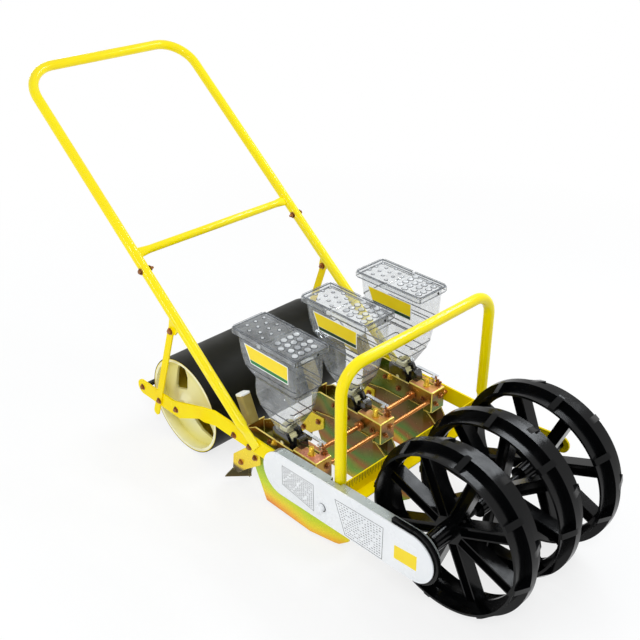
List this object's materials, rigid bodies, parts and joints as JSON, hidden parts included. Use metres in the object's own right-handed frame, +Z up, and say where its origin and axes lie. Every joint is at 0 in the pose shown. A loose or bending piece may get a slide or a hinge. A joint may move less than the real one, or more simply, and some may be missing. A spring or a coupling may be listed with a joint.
{
  "type": "three-row push seeder",
  "caption": "Walk-behind vegetable seeder with lugged front drive wheels, seed hoppers, furrow openers, a chain case, a tubular handle and a rear press drum.",
  "frame": {"origin": "middle of the bounding box on the floor", "axes": "+Z up, -Y forward (the way it is pushed), -X the drive side with the chain case"},
  "size_m": [0.5385, 1.5472, 0.8829],
  "materials": {
    "black_plastic": "moulded black, satin to gloss",
    "frame_paint": "bright yellow powder coat",
    "cream_plastic": "cream moulded",
    "white_plastic": "white moulded",
    "zinc_yellow": "yellow passivated zinc",
    "zinc_bright": "bright zinc",
    "clear_plastic": "clear moulded polycarbonate",
    "dark_steel": "black paint on steel",
    "dark_nylon": "dark moulded"
  },
  "bodies": {
    "frame": {"drum_axle": "zinc_bright", "side_plate_drive": "frame_paint", "side_plate_free": "frame_paint", "handle": "frame_paint", "handle_crossbar": "frame_paint", "handle_strut_drive": "frame_paint", "handle_strut_free": "frame_paint", "front_hoop": "frame_paint", "spacing_angle": "frame_paint", "drum_scraper": "dark_steel", "unit_rod": "zinc_bright", "chain_case": "zinc_bright", "case_guard": "black_plastic", "case_cover": "white_plastic", "cover_knob": "white_plastic", "unit_frame_1": "zinc_yellow", "opener_1": "zinc_yellow", "hopper_1": "clear_plastic", "lid_1": "clear_plastic", "roller_housing_1": "dark_nylon", "coverer_1": "zinc_bright", "depth_lever_1": "cream_plastic", "unit_frame_2": "zinc_yellow", "opener_2": "zinc_yellow", "hopper_2": "clear_plastic", "lid_2": "clear_plastic", "roller_housing_2": "dark_nylon", "coverer_2": "zinc_bright", "depth_lever_2": "cream_plastic", "unit_frame_3": "zinc_yellow", "opener_3": "zinc_yellow", "hopper_3": "clear_plastic", "lid_3": "clear_plastic", "roller_housing_3": "dark_nylon", "coverer_3": "zinc_bright", "depth_lever_3": "cream_plastic"},
    "wheels": {"front_axle": "zinc_bright", "axle_sprocket": "zinc_bright", "front_wheel_1": "black_plastic", "front_wheel_2": "black_plastic", "front_wheel_3": "black_plastic"},
    "drum": {"drum_shell": "black_plastic", "drum_cap_drive": "cream_plastic", "drum_cap_free": "cream_plastic"},
    "shaft": {"drive_shaft": "zinc_bright", "shaft_sprocket": "zinc_bright"},
    "flap_1": {"lid_flap_1": "clear_plastic"},
    "roller_1": {"seed_roller_1": "white_plastic"},
    "flap_2": {"lid_flap_2": "clear_plastic"},
    "roller_2": {"seed_roller_2": "white_plastic"},
    "flap_3": {"lid_flap_3": "clear_plastic"},
    "roller_3": {"seed_roller_3": "white_plastic"}
  },
  "joints": [
    {"name": "wheel_spin", "type": "hinge", "parent": "frame", "child": "wheels", "pos_m": [0.0105, -0.5816, 0.192], "axis": [1, 0, 0], "continuous": true},
    {"name": "drum_spin", "type": "hinge", "parent": "frame", "child": "drum", "pos_m": [0.0105, 0.2084, 0.129], "axis": [1, 0, 0], "continuous": true},
    {"name": "shaft_spin", "type": "hinge", "parent": "frame", "child": "shaft", "pos_m": [0.0105, -0.2046, 0.178], "axis": [1, 0, 0], "continuous": true},
    {"name": "flap_1_lift", "type": "hinge", "parent": "frame", "child": "flap_1", "pos_m": [-0.1835, -0.1286, 0.46], "axis": [-1, 0, 0], "range_deg": [0, 110]},
    {"name": "roller_1_spin", "type": "hinge", "parent": "frame", "child": "roller_1", "pos_m": [-0.1835, -0.1506, 0.203], "axis": [1, 0, 0], "continuous": true},
    {"name": "flap_2_lift", "type": "hinge", "parent": "frame", "child": "flap_2", "pos_m": [0.0215, -0.1286, 0.46], "axis": [-1, 0, 0], "range_deg": [0, 110]},
    {"name": "roller_2_spin", "type": "hinge", "parent": "frame", "child": "roller_2", "pos_m": [0.0215, -0.1506, 0.203], "axis": [1, 0, 0], "continuous": true},
    {"name": "flap_3_lift", "type": "hinge", "parent": "frame", "child": "flap_3", "pos_m": [0.2035, -0.1286, 0.46], "axis": [-1, 0, 0], "range_deg": [0, 110]},
    {"name": "roller_3_spin", "type": "hinge", "parent": "frame", "child": "roller_3", "pos_m": [0.2035, -0.1506, 0.203], "axis": [1, 0, 0], "continuous": true}
  ],
  "couplings": [
    {"joint": "shaft_spin", "follows": "wheel_spin", "ratio": 1},
    {"joint": "roller_1_spin", "follows": "wheel_spin", "ratio": -1},
    {"joint": "roller_2_spin", "follows": "wheel_spin", "ratio": -1},
    {"joint": "roller_3_spin", "follows": "wheel_spin", "ratio": -1}
  ]
}
